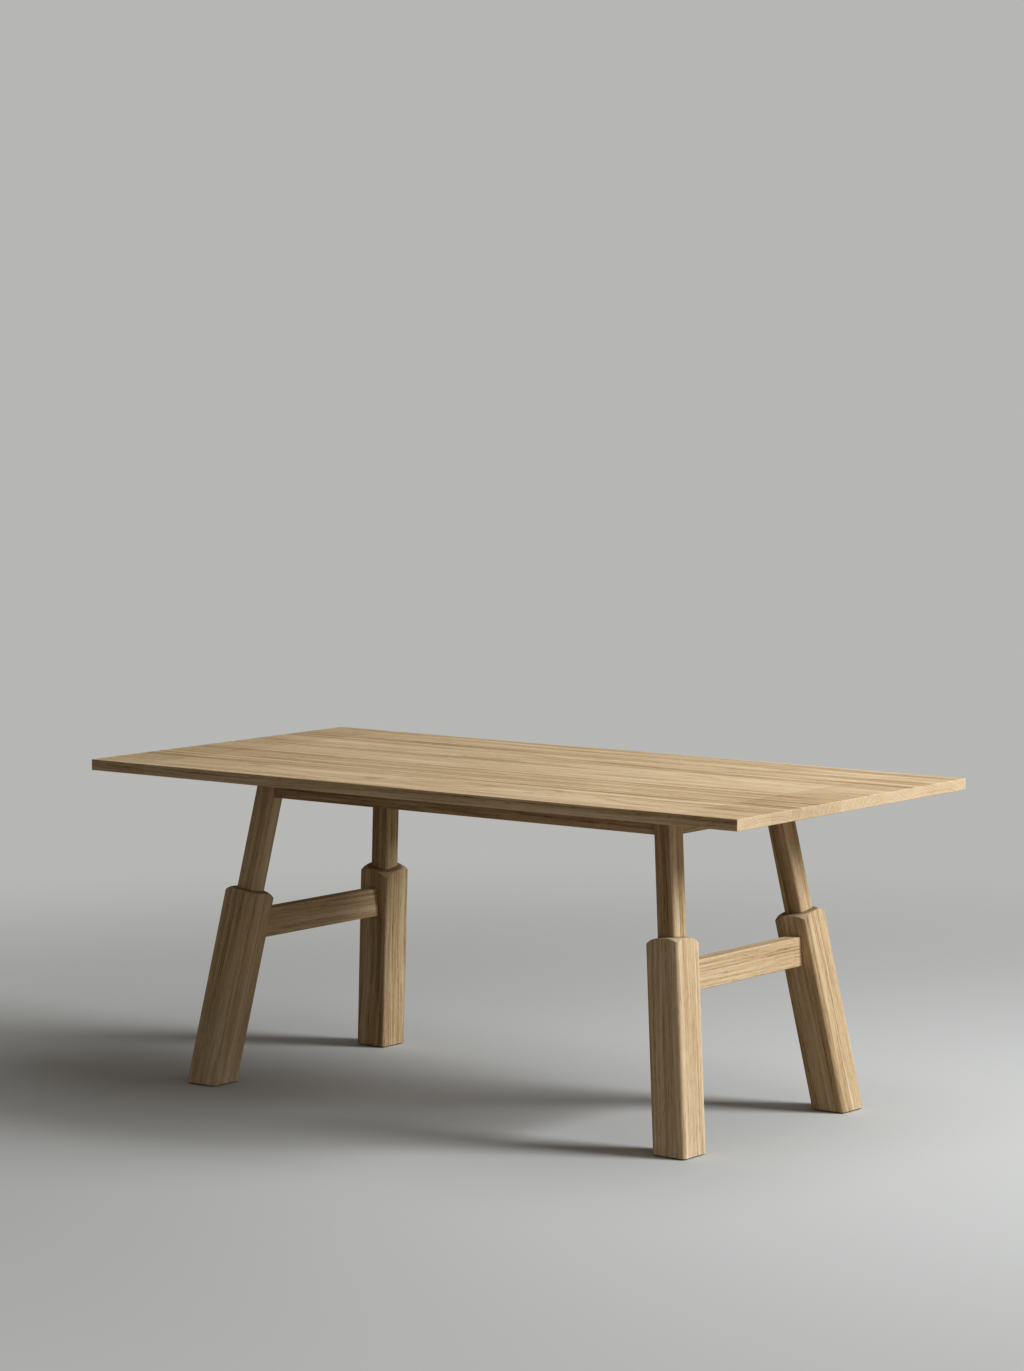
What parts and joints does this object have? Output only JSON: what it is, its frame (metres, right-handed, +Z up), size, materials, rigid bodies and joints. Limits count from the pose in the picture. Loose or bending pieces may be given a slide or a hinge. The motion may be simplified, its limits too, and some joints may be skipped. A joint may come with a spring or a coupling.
{
  "type": "dining table",
  "caption": "Light oak dining table with a plank top and splayed legs whose slim posts rise from thick shouldered blocks, tied by end stretchers and a rail frame",
  "frame": {"origin": "On the floor under the middle of the table top", "axes": "+X runs along the length of the table to its right end, +Y across to its back edge, +Z up"},
  "size_m": [1.8, 0.9, 0.75],
  "materials": {
    "oak_top": "light oiled oak, fine grain",
    "oak_base": "light oiled oak, fine grain",
    "beech": "plain planed beech",
    "birch_ply": "birch plywood strip",
    "nylon": "dark matt nylon",
    "zinc_steel": "zinc-plated steel"
  },
  "bodies": {
    "root": {"top_board_1": "oak_top", "top_board_2": "oak_top", "top_board_3": "oak_top", "top_board_4": "oak_top", "top_board_5": "oak_top", "top_board_6": "oak_top", "left_end_board_1": "oak_top", "left_end_board_2": "oak_top", "left_end_board_3": "oak_top", "left_end_board_4": "oak_top", "left_end_board_5": "oak_top", "left_end_board_6": "oak_top", "right_end_board_1": "oak_top", "right_end_board_2": "oak_top", "right_end_board_3": "oak_top", "right_end_board_4": "oak_top", "right_end_board_5": "oak_top", "right_end_board_6": "oak_top", "front_left_leg_block": "oak_base", "front_right_leg_block": "oak_base", "back_left_leg_block": "oak_base", "back_right_leg_block": "oak_base", "front_left_leg_post": "oak_base", "front_right_leg_post": "oak_base", "back_left_leg_post": "oak_base", "back_right_leg_post": "oak_base", "left_stretcher": "oak_base", "right_stretcher": "oak_base", "front_rail": "oak_base", "back_rail": "oak_base", "left_rail": "oak_base", "right_rail": "oak_base", "front_left_corner_brace": "beech", "front_right_corner_brace": "beech", "back_left_corner_brace": "beech", "back_right_corner_brace": "beech", "top_buttons": "beech", "left_end_tongue": "birch_ply", "right_end_tongue": "birch_ply", "front_left_glide": "nylon", "front_right_glide": "nylon", "back_left_glide": "nylon", "back_right_glide": "nylon", "button_screws": "zinc_steel", "brace_screws": "zinc_steel"}
  },
  "joints": []
}
